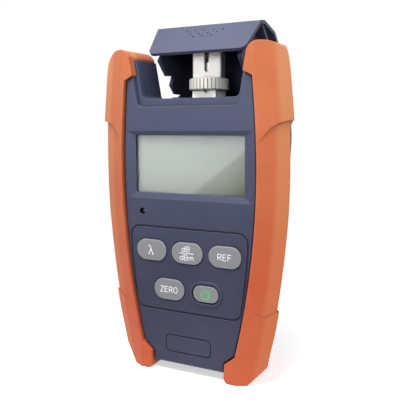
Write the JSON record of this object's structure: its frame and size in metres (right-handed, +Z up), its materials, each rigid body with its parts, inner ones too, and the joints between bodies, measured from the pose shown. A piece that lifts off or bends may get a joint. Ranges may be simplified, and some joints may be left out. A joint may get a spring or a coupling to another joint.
{
  "type": "optical power meter",
  "caption": "Hand-held optical power meter with display, rubber keys, side bumpers and a fibre port under a hinged dust cover.",
  "frame": {"origin": "middle of the bounding box's bottom face, on the ground plane under the two feet", "axes": "+Z up from the feet to the port, front panel faces -Y, +X to the right seen from behind the panel"},
  "size_m": [0.091, 0.0468, 0.1532],
  "materials": {
    "case": "fine moulded texture",
    "cover": "fine moulded texture",
    "bumper": "satin moulded rubber",
    "window": "clear polished",
    "display": "grey green liquid crystal cell",
    "white_plastic": "moulded",
    "lamp": "tinted lens",
    "mat": "matt silicone",
    "key": "matt coated silicone",
    "board": "solder mask",
    "steel": "bright",
    "port_plastic": "moulded",
    "nut_plastic": "moulded",
    "ceramic": "polished zirconia",
    "cell": "plain printed jacket",
    "plated": "nickel plated"
  },
  "bodies": {
    "meter": {"front_case": "case", "rear_case": "case", "left_bumper": "bumper", "right_bumper": "bumper", "display_window": "window", "display_cell": "display", "display_holder": "white_plastic", "status_lamp": "lamp", "keypad_mat": "mat", "main_board": "board", "detector": "steel", "port_base": "port_plastic", "port_adapter": "port_plastic", "ferrule_sleeve": "ceramic", "cover_pins": "steel", "battery_cells": "cell", "battery_contacts": "plated", "battery_springs": "plated", "case_screws": "steel", "board_screws": "steel"},
    "cover": {"dust_cover": "cover"},
    "nut": {"port_nut": "nut_plastic"},
    "door": {"battery_door": "case"},
    "wavelength_key": {"key_wavelength": "key"},
    "units_key": {"key_units": "key"},
    "reference_key": {"key_reference": "key"},
    "zero_key": {"key_zero": "key"},
    "power_key": {"key_power": "key"}
  },
  "joints": [
    {"name": "cover_hinge", "type": "hinge", "parent": "meter", "child": "cover", "pos_m": [0, 0.00885, 0.12], "axis": [-1, 0, 0], "range_deg": [-45, 43]},
    {"name": "nut_turn", "type": "hinge", "parent": "meter", "child": "nut", "pos_m": [0, -0.00065, 0.127], "axis": [0, 0, 1], "continuous": true},
    {"name": "door_pull", "type": "slide", "parent": "meter", "child": "door", "axis": [0, 1, 0], "range_m": [0, 0.02]},
    {"name": "wavelength_key_press", "type": "slide", "parent": "meter", "child": "wavelength_key", "axis": [0, 1, 0], "range_m": [0, 0.0007], "stiffness_N_per_m": 400},
    {"name": "units_key_press", "type": "slide", "parent": "meter", "child": "units_key", "axis": [0, 1, 0], "range_m": [0, 0.0007], "stiffness_N_per_m": 400},
    {"name": "reference_key_press", "type": "slide", "parent": "meter", "child": "reference_key", "axis": [0, 1, 0], "range_m": [0, 0.0007], "stiffness_N_per_m": 400},
    {"name": "zero_key_press", "type": "slide", "parent": "meter", "child": "zero_key", "axis": [0, 1, 0], "range_m": [0, 0.0007], "stiffness_N_per_m": 400},
    {"name": "power_key_press", "type": "slide", "parent": "meter", "child": "power_key", "axis": [0, 1, 0], "range_m": [0, 0.0007], "stiffness_N_per_m": 400}
  ]
}
